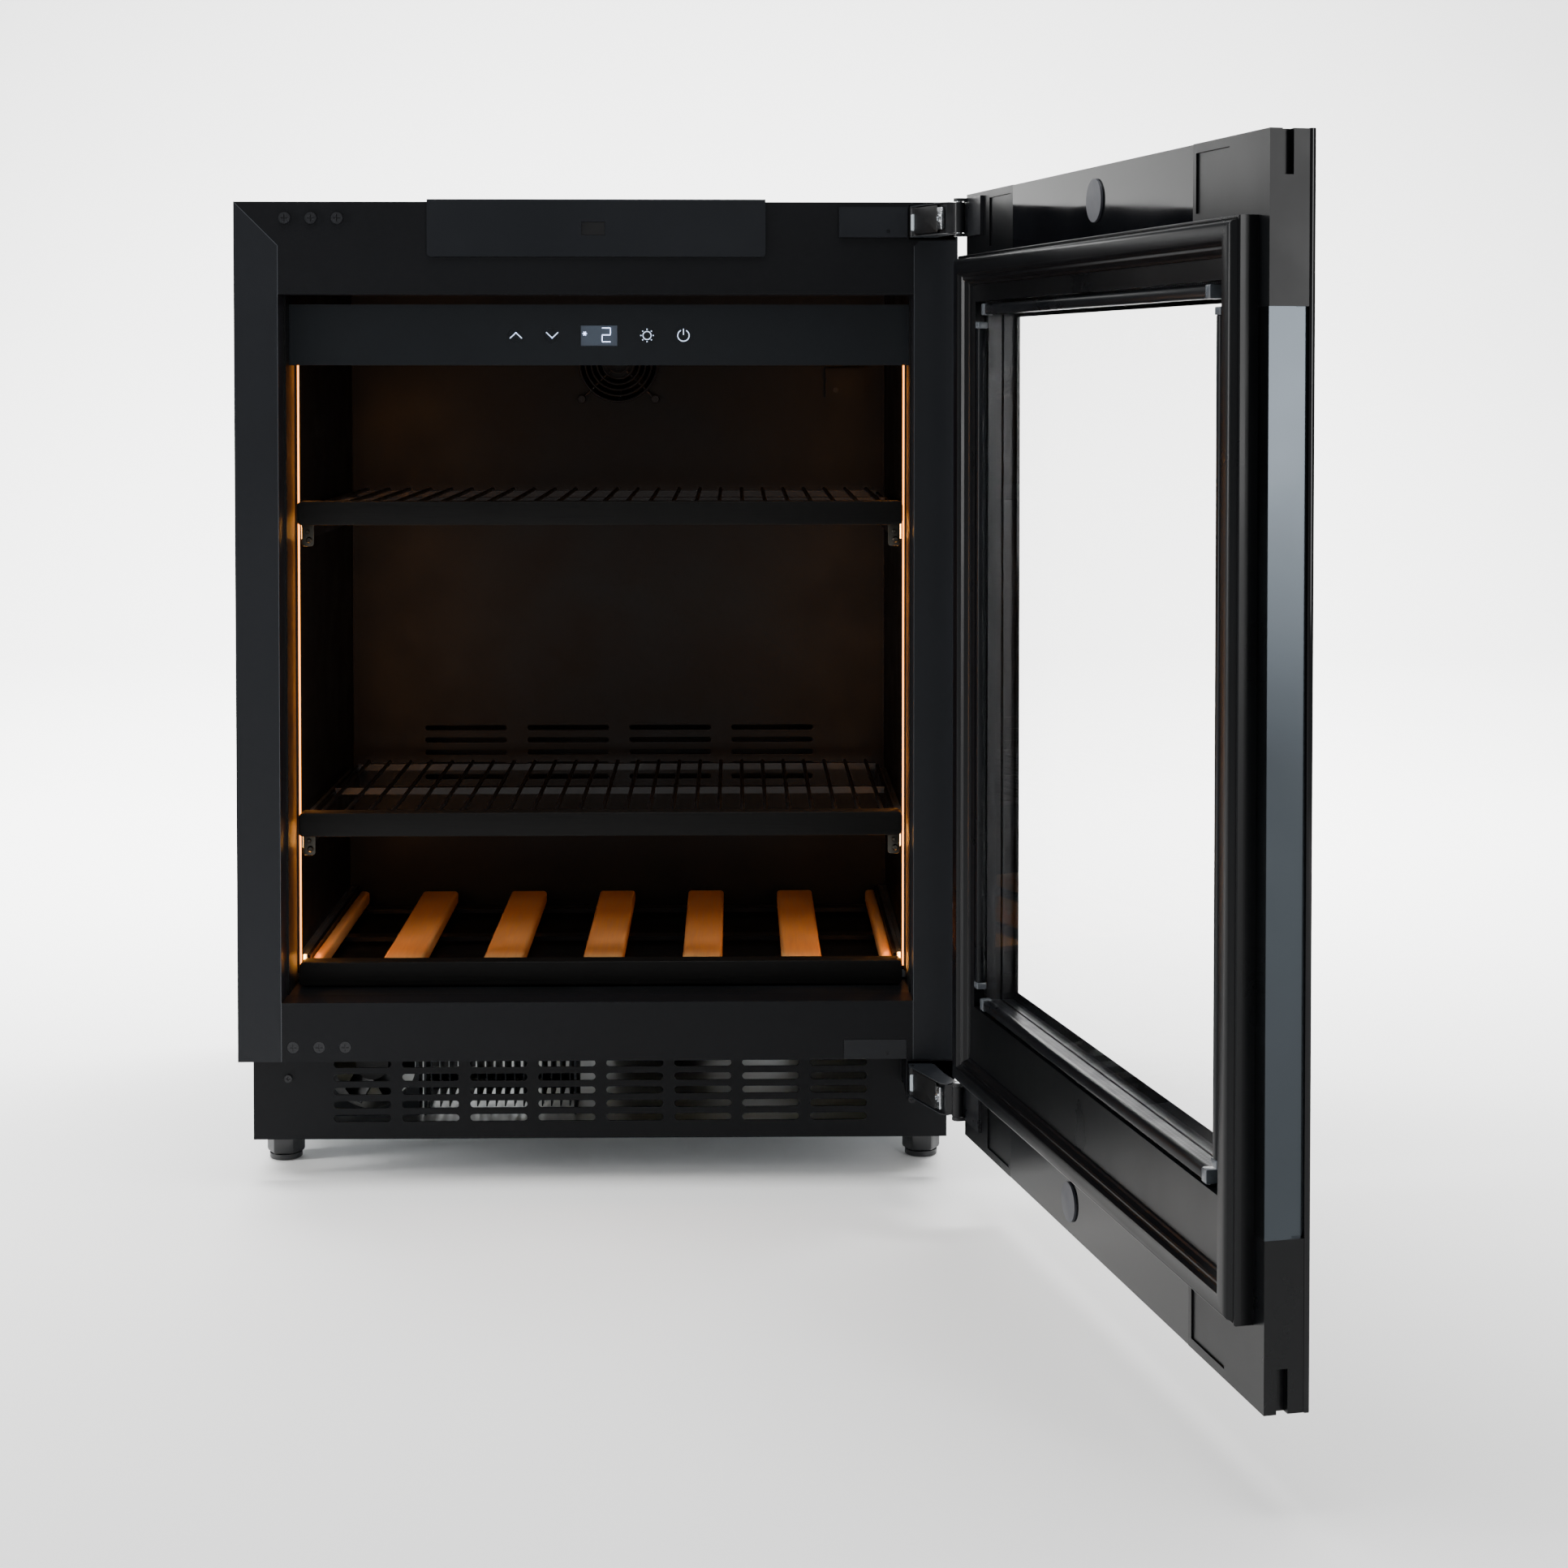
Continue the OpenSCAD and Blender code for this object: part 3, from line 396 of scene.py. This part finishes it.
def block(low, high, r, ease, axis, corner_steps=4):
    """A rounded block between two corners: rounded rectangles of corner radius r, stacked along axis
    and drawn in by ease(1 - sin t) over the depth ease(1 - cos t) at each end."""
    low, high = np.array(low, float), np.array(high, float)
    u, v = [i for i in range(3) if i != axis]
    t = np.linspace(0, np.pi / 2, 4)
    depth = np.concatenate([low[axis] + ease * (1 - np.cos(t)), high[axis] - ease * (1 - np.cos(t[::-1]))])
    inset = np.concatenate([ease * (1 - np.sin(t)), ease * (1 - np.sin(t[::-1]))])
    turn = np.linspace(0, np.pi / 2, corner_steps + 1)
    quarter = (np.array([0, 1, 2, 3])[:, None] * np.pi / 2 + turn).ravel()
    sign_u = np.repeat([1, -1, -1, 1], corner_steps + 1)
    sign_v = np.repeat([1, 1, -1, -1], corner_steps + 1)
    half_u, half_v = (high[u] - low[u]) / 2, (high[v] - low[v]) / 2
    small = np.maximum(r - inset, 1e-5)[:, None]
    ring = np.zeros((len(depth), len(quarter), 3))
    ring[..., axis] = depth[:, None]
    for i, half, sign, bend in ((u, half_u, sign_u, np.cos(quarter)), (v, half_v, sign_v, np.sin(quarter))):
        ring[..., i] = (low[i] + high[i]) / 2 + sign * (half - inset[:, None] - small) + small * bend
    return ring


def planed(name, shades, along, fibre_mm, rough, bump_mm, **sockets):
    """Planed wood: fibres stretched twenty times along one axis, in colour, gloss and relief."""
    material = finish(name, shades, 40, 1.0, bump_mm, rough, **sockets)
    tree = material.node_tree
    stretch = [0.05 if i == along else 1.0 for i in range(3)]
    grain_place = add_node(tree, "ShaderNodeMapping", {"Scale": stretch},
                           {"Vector": (next(n for n in tree.nodes if n.type == "TEX_COORD"), "Object")})
    for found in [n for n in tree.nodes if n.type == "TEX_NOISE"]:
        tree.links.new(grain_place.outputs[0], found.inputs["Vector"])
        found.inputs["Scale"].default_value = 1000 / fibre_mm
        found.inputs["Distortion"].default_value = 0.4
    return material


dress(wire_black, "upper_shelf", "middle_shelf", "bottle_shelf")
dark_oak = planed("black_stained_oak", ("#040404", "#100f0e"), 0, 1.6, (0.45, 0.6), 0.1,
                  Specular_IOR_Level=0.12)
beech = planed("oiled_beech", ("#9a6a38", "#cf9a5e"), 1, 2.6, (0.38, 0.52), 0.08)
for level in ("upper", "middle", "bottle"):
    low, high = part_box(f"{level}_shelf_trim")
    front = make(f"{level}_trim_board", f"{level}_shelf_body", loft(block(low, high, 0.004, 0.0007, 1)),
                 dark_oak)
    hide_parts(f"{level}_shelf_trim")
hook_steel = finish("zinc_hook", ("#34322e", "#45423c"), 6, 0.8, 0.02, (0.3, 0.42), Metallic=1.0)
# two pressed bosses on each hook: how far along it, how far down, and radius
hook_x, bosses = 0.2496, ((0.0, 0.0065, 0.0019), (0.0012, 0.0135, 0.0026))
for level in ("upper", "middle"):
    low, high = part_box(f"{level}_shelf_trim")
    hooks = [block((side * hook_x - 0.0052, high.y + 0.0004, low.z - 0.019),
                   (side * hook_x + 0.0052, high.y + 0.0016, low.z + 0.004), 0.0024, 0.0003, 1)
             for side in (-1, 1)]
    hooks += [rod((side * hook_x + aside, high.y - 0.0016, low.z - down),
                  (side * hook_x + aside, high.y + 0.0010, low.z - down), r, 16, 0.3)
              for side in (-1, 1) for aside, down, r in bosses]
    hook = make(f"{level}_runner_hooks", f"{level}_shelf_body", loft(*hooks), hook_steel)
slats_low, slats_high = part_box("bottle_slats")
boards = [block((max(i * 0.0855 - 0.017, slats_low.x), slats_low.y, slats_low.z),
                (min(i * 0.0855 + 0.017, slats_high.x), slats_high.y, slats_high.z), 0.003, 0.0015, 1)
          for i in range(-3, 4)]
slats = make("beech_slats", "bottle_shelf_body", loft(*boards), beech)
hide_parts("bottle_slats")


# ---- door: glass, bands, caps and profiles ----
# Triple glazing: a full outer pane, enamelled black round its border, two inner panes on dotted
# spacers, gloss black bands along top and bottom and moulded caps at the corners.
swing = next(j for j in frame["joints"] if j["name"] == "door_swing")
door_angle = math.radians(-swing["range_deg"][0])
front_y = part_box("frame_stiles")[0].y
arm_travel = 0.0612
pin = np.array(swing["pos_m"][:2])
pin_shut = pin + np.array([0.0, arm_travel])


def opened(rings):
    """Drawn on the shut door, placed on the open one: turned about the shut pin, set down at the pin."""
    rings = np.array(rings, float)
    x, y = rings[..., 0] - pin_shut[0], rings[..., 1] - pin_shut[1]
    c, s = math.cos(door_angle), math.sin(door_angle)
    rings[..., 0], rings[..., 1] = pin[0] + x * c - y * s, pin[1] + x * s + y * c
    return rings


def clear_glass(name, tint, rough):
    """Coated float glass: clear with a faint tint, its gloss dulled a little in patches by wiping.
    The anti-reflection coat leaves far less mirror than bare glass, so the index is set below 1.5."""
    return finish(name, (tint, tint), 120, 40, 0.0, rough, Transmission_Weight=1.0, IOR=1.1)


float_glass = clear_glass("float_glass", "#ffffff", (0.0, 0.01))
dress(float_glass, "door_inner_panes")
gloss_black = finish("enamelled_black", ("#030304", "#06070a"), 70, 30, 0.0, (0.05, 0.1),
                     Specular_IOR_Level=0.2)
dress(gloss_black, "door_bands")
# caps moulded in glass-filled nylon, satin with faint flow marks
cap_nylon = finish("satin_black_nylon", ("#040506", "#07080a"), 60, 1.2, 0.01, (0.26, 0.34),
                   Specular_IOR_Level=0.16)
dress(cap_nylon, "corner_caps", "door_liner_frame")
# black anodised profile, a satin flat that mirrors the upright box beside the camera
dress(finish("anodised_profile", ("#33373b", "#3d4246"), 160, 1.2, 0.01, (0.2, 0.28), Metallic=1.0),
      "door_side_profiles")
dress(finish("grey_magnet_disc", ("#2b2d33", "#363940"), 12, 0.8, 0.02, (0.4, 0.5)), "door_discs")

# The outer pane: black enamel fired over its border and edges, up to the clear window. Each border
# strip is mitred into the next, and the clear part fills the frame they make.
pane_y = (front_y - 0.0470, front_y - 0.0430)


def rectangle(half, low, high):
    """The corners (x, z) of a rectangle about x = 0, from its lower left one round."""
    return np.array([[-half, low], [half, low], [half, high], [-half, high]])


outer_ring, inner_ring = rectangle(0.2975, 0.063, 0.820), rectangle(0.2355, 0.191, 0.721)


def border_ring(outer, inner, y, ease=0.0006):
    """A mitred border: at each corner the section between two rectangles, its outer arrises eased by
    drawing the last 0.6 mm of depth in towards the inner rectangle, outer + ease (inner - outer)/|..|."""
    rings = []
    for o, i in zip(outer, inner):
        inward = np.sign(i - o) * ease
        corners = ((o + inward, y[0]), (o, y[0] + ease), (o, y[1] - ease), (o + inward, y[1]),
                   (i, y[1]), (i, y[0]))
        rings.append([np.insert(spot, 1, depth) for spot, depth in corners])
    return np.array(rings)


border = make("enamelled_border", "door", loft(opened(border_ring(outer_ring, inner_ring, pane_y)),
              loop=True), gloss_black, 50)
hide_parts("door_outer_glass")
clear = np.stack([np.insert(inner_ring, 1, y, axis=1) for y in pane_y])
make("clear_window", "door", loft(opened(clear)), float_glass)

# Spacer bars: black coated strip with a row of small vent holes along the sides that face the window.
spacer = finish("dotted_spacer", ("#141517", "#1d1f22"), 18, 0.7, 0.01, (0.3, 0.42), Metallic=0.4)
tree = spacer.node_tree
turned = add_node(tree, "ShaderNodeMapping", {"Rotation": (0.0, 0.0, -door_angle)},
                  {"Vector": (next(n for n in tree.nodes if n.type == "TEX_COORD"), "Object")})
holes = add_node(tree, "ShaderNodeTexVoronoi", {"Scale": 1000 / 3.2, "Randomness": 0.0},
                 {"Vector": (turned, 0)})
punched = add_node(tree, "ShaderNodeMapRange", {"From Min": 0.28, "From Max": 0.36}, {"Value": (holes, 0)})
plain = next(n for n in tree.nodes if n.type == "MIX")
dots = add_node(tree, "ShaderNodeMix", {"data_type": "RGBA", 6: linear("#4b4e52")},
                {0: (punched, 0), 7: (plain, 2)})
tree.links.new(dots.outputs[2], tree.nodes["Principled BSDF"].inputs["Base Color"])
dress(spacer, "door_spacer_bars")


# ---- door gasket ----
# Extruded soft vinyl with a magnet inside, mitred and welded at its four corners, pushed into the
# liner frame's groove: a bright outer bead, a flat magnet band and a bellows towards the window.
gasket_half, gasket_low, gasket_high = 0.2815, 0.112, 0.770
lip = np.array([[0.0, 0.0], [0.0, 0.0034], [0.0006, 0.0042], [0.0014, 0.0042], [0.002, 0.0036],
                [0.0026, 0.0052], [0.0036, 0.0078], [0.005, 0.0090], [0.0065, 0.0094], [0.0135, 0.0094],
                [0.0150, 0.0090], [0.0162, 0.0078], [0.0168, 0.0062], [0.0178, 0.0055], [0.0194, 0.0058],
                [0.0206, 0.0050], [0.0214, 0.0034], [0.0222, 0.0020], [0.0236, 0.0014], [0.024, 0.0]])
ends = np.array([[1, 1, gasket_half, gasket_high], [-1, 1, -gasket_half, gasket_high],
                 [-1, -1, -gasket_half, gasket_low], [1, -1, gasket_half, gasket_low]])
seal = np.stack([np.stack([e[2] - e[0] * lip[:, 0], front_y - 0.010 + lip[:, 1],
                           e[3] - e[1] * lip[:, 0]], -1) for e in ends])
vinyl = finish("black_soft_vinyl", ("#040507", "#07080a"), 80, 2.5, 0.008, (0.27, 0.33),
               Specular_IOR_Level=0.2)
gasket = make("gasket_frame", "door", loft(opened(seal), loop=True), vinyl, 28)
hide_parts("door_gasket")


# ---- door light strips ----
# Smoked tubes, unlit while the door is open, clipped round the window inside the gasket, each with
# frosted moulded end caps.
tube_smoke = finish("smoked_light_tube", ("#08090b", "#101215"), 50, 6, 0.0, (0.26, 0.34),
                     Specular_IOR_Level=0.1)
y_low, y_high = front_y - 0.0169, front_y - 0.0092
side_x, end_x = 0.241, 0.222
tubes = [block((s * side_x - 0.0042, y_low, 0.200), (s * side_x + 0.0042, y_high, 0.712), 0.0032, 0.0006, 2)
         for s in (-1, 1)]
tubes += [block((-end_x, y_low, z), (end_x, y_high, z + 0.0085), 0.0032, 0.0006, 0) for z in (0.1812, 0.7222)]
tube = make("light_tubes", "door", loft(*[opened(t) for t in tubes]), tube_smoke)
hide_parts("door_light_strips")
frosted = finish("frosted_end_caps", ("#3a3e43", "#4c5156"), 10, 2, 0.0, (0.2, 0.3), IOR=1.45)
clips = [block((s * side_x - 0.0045, y_low, z), (s * side_x + 0.0045, y_high + 0.0002, z + 0.005),
               0.001, 0.0006, 2) for s in (-1, 1) for z in (0.195, 0.712)]
clips += [block((x, y_low, z), (x + 0.0075, y_high + 0.0002, z + 0.009), 0.001, 0.0006, 0)
          for x in (-end_x - 0.0075, end_x) for z in (0.181, 0.722)]
make("tube_end_caps", "door", loft(*[opened(c) for c in clips]), frosted)


# ---- hinges ----
# Hinges of die-cast zinc: a black plated arm that slides out of its pocket in the frame, a black
# cover clipped over it, link plates above and below, a grey guide roller at the root, and a bright
# clamp with a socket screw.
plated = finish("plated_die_cast_zinc", ("#a9adb1", "#cfd2d5"), 9, 1.2, 0.01, (0.2, 0.32), Metallic=1.0)
dress(plated, "hinge_pins")
arm_black = finish("black_plated_arm", ("#090a0c", "#101114"), 9, 1.2, 0.02, (0.3, 0.42),
                   Specular_IOR_Level=0.25)
dress(arm_black, "upper_hinge_arm", "lower_hinge_arm")
leaf_paint = finish("painted_hinge_leaf", ("#0c0d0f", "#16181b"), 12, 0.9, 0.02, (0.25, 0.4),
                    Specular_IOR_Level=0.35)
dress(leaf_paint, "door_brackets")
roller_grey = finish("acetal_roller", ("#8d979d", "#a2abb0"), 8, 0.9, 0.01, (0.35, 0.5))
link_grey = finish("phosphated_link", ("#15171a", "#1f2226"), 14, 0.9, 0.02, (0.3, 0.42),
                   Specular_IOR_Level=0.3)


def along_arm(rings, root, line):
    """From the arm's own axes (along it, out of its left face, up) to the room: root + u line + v left,
    where left is the line turned by a right angle, (line y, -line x)."""
    out = np.array(rings, float)
    out[..., 0] = root[0] + rings[..., 0] * line[0] + rings[..., 1] * line[1]
    out[..., 1] = root[1] + rings[..., 0] * line[1] - rings[..., 1] * line[0]
    return out


# the line of the arm's outer face, seen from above
web_root, web_tip = np.array([0.262, -0.294]), np.array([0.283, -0.346])
web = (web_tip - web_root) / np.linalg.norm(web_tip - web_root)
# the socket screw's head from its seat to the bottom of its socket: height and radius
screw_profile = ((0.0030, 0.0034), (0.0042, 0.0034), (0.0045, 0.0031), (0.0045, 0.0020), (0.0037, 0.0018))
for level in ("upper", "lower"):
    foot_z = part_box(f"{level}_hinge_arm")[0].z - 0.0022
    body = f"{level}_arm"
    cover = along_arm(block((0.0015, 0.0002, foot_z + 0.0042), (0.0440, 0.0027, foot_z + 0.0264),
                            0.0020, 0.0009, 1), web_root, web)
    lid = make(f"{level}_hinge_lid", body, loft(cover), moulded_black)
    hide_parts(f"{level}_arm_cover")
    clamp = along_arm(block((0.0452, 0.0002, foot_z + 0.0062), (0.0530, 0.0034, foot_z + 0.0242),
                            0.0008, 0.0006, 1), web_root, web)
    middle = foot_z + 0.0152
    t = np.linspace(0, 2 * np.pi, 24, False)
    head = [np.stack([0.0491 + r * np.cos(t), np.full(24, v), middle + r * np.sin(t)], -1)
            for v, r in screw_profile]
    collar = along_arm(np.stack(head), web_root, web)
    make(f"{level}_hinge_clamp", body, loft(clamp, collar), plated)
    roller = rod((0.2606, -0.2933, foot_z + 0.0078), (0.2606, -0.2933, foot_z + 0.0212), 0.0027, 24, 0.2)
    make(f"{level}_hinge_roller", body, loft(roller), roller_grey)
    plan = np.array([[0.2574, -0.2835], [0.2574, -0.2925], [0.2590, -0.2950], [0.2790, -0.3440],
                     [0.2846, -0.3478], [0.2905, -0.3430], [0.2790, -0.2860], [0.2765, -0.2835]])
    plates = [np.stack([np.insert(plan, 2, z, axis=1) for z in span])
              for span in ((foot_z + 0.0272, foot_z + 0.0279), (foot_z + 0.0026, foot_z + 0.0032))]
    make(f"{level}_hinge_links", body, loft(*plates), link_grey)


# ---- feet ----
# Levelling feet: a hexagonal nylon foot moulded round a zinc stud that screws into the base.

def hexagon(x, y, stations, per_side=5):
    """A hexagon with softened corners at each (height, reach): reach over cos of the angle within a
    side, blended to the corner circle, so that every ring has the same number of points."""
    t = np.linspace(0, 2 * np.pi, 6 * per_side * 2, False)
    within = (t + np.pi / 6) % (np.pi / 3) - np.pi / 6
    flat = math.cos(math.pi / 6) / np.cos(within)
    soft = np.minimum(flat, 1.0 - 0.02)
    turned = t + np.pi / 6
    return np.stack([np.stack([x + reach * soft * np.cos(turned), y + reach * soft * np.sin(turned),
                               np.full(len(t), z)], -1) for z, reach in stations])


stud = finish("zinc_stud", ("#85888c", "#a4a8ac"), 6, 1.0, 0.02, (0.2, 0.32), Metallic=1.0)
nylon = finish("black_foot_nylon", ("#0c0d0f", "#17181b"), 15, 0.9, 0.04, (0.3, 0.44))
for place in ("front_left", "front_right", "back_left", "back_right"):
    low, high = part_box(f"feet_{place}")
    x, y = (low.x + high.x) / 2, (low.y + high.y) / 2
    base = [np.stack([np.stack([x + r * np.cos(t), y + r * np.sin(t), np.full(36, z)], -1)
                      for z, r in ((0.0, 0.0134), (0.0006, 0.014), (0.0045, 0.014))])
            for t in [np.linspace(0, 2 * np.pi, 36, False)]]
    shoe = make(f"foot_shoe_{place}", f"foot_{place}", loft(hexagon(x, y, (
        (0.0044, 0.0135), (0.0058, 0.0158), (0.0075, 0.0165), (0.0195, 0.0165), (0.0212, 0.0160),
        (0.022, 0.0145)))), nylon)
    pad = make(f"foot_pad_{place}", f"foot_{place}", loft(*base), nylon)
    thread = rod((x, y, 0.02), (x, y, high.z), 0.005, 24)
    shank = make(f"foot_stud_{place}", f"foot_{place}", loft(thread), stud)
    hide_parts(f"feet_{place}")
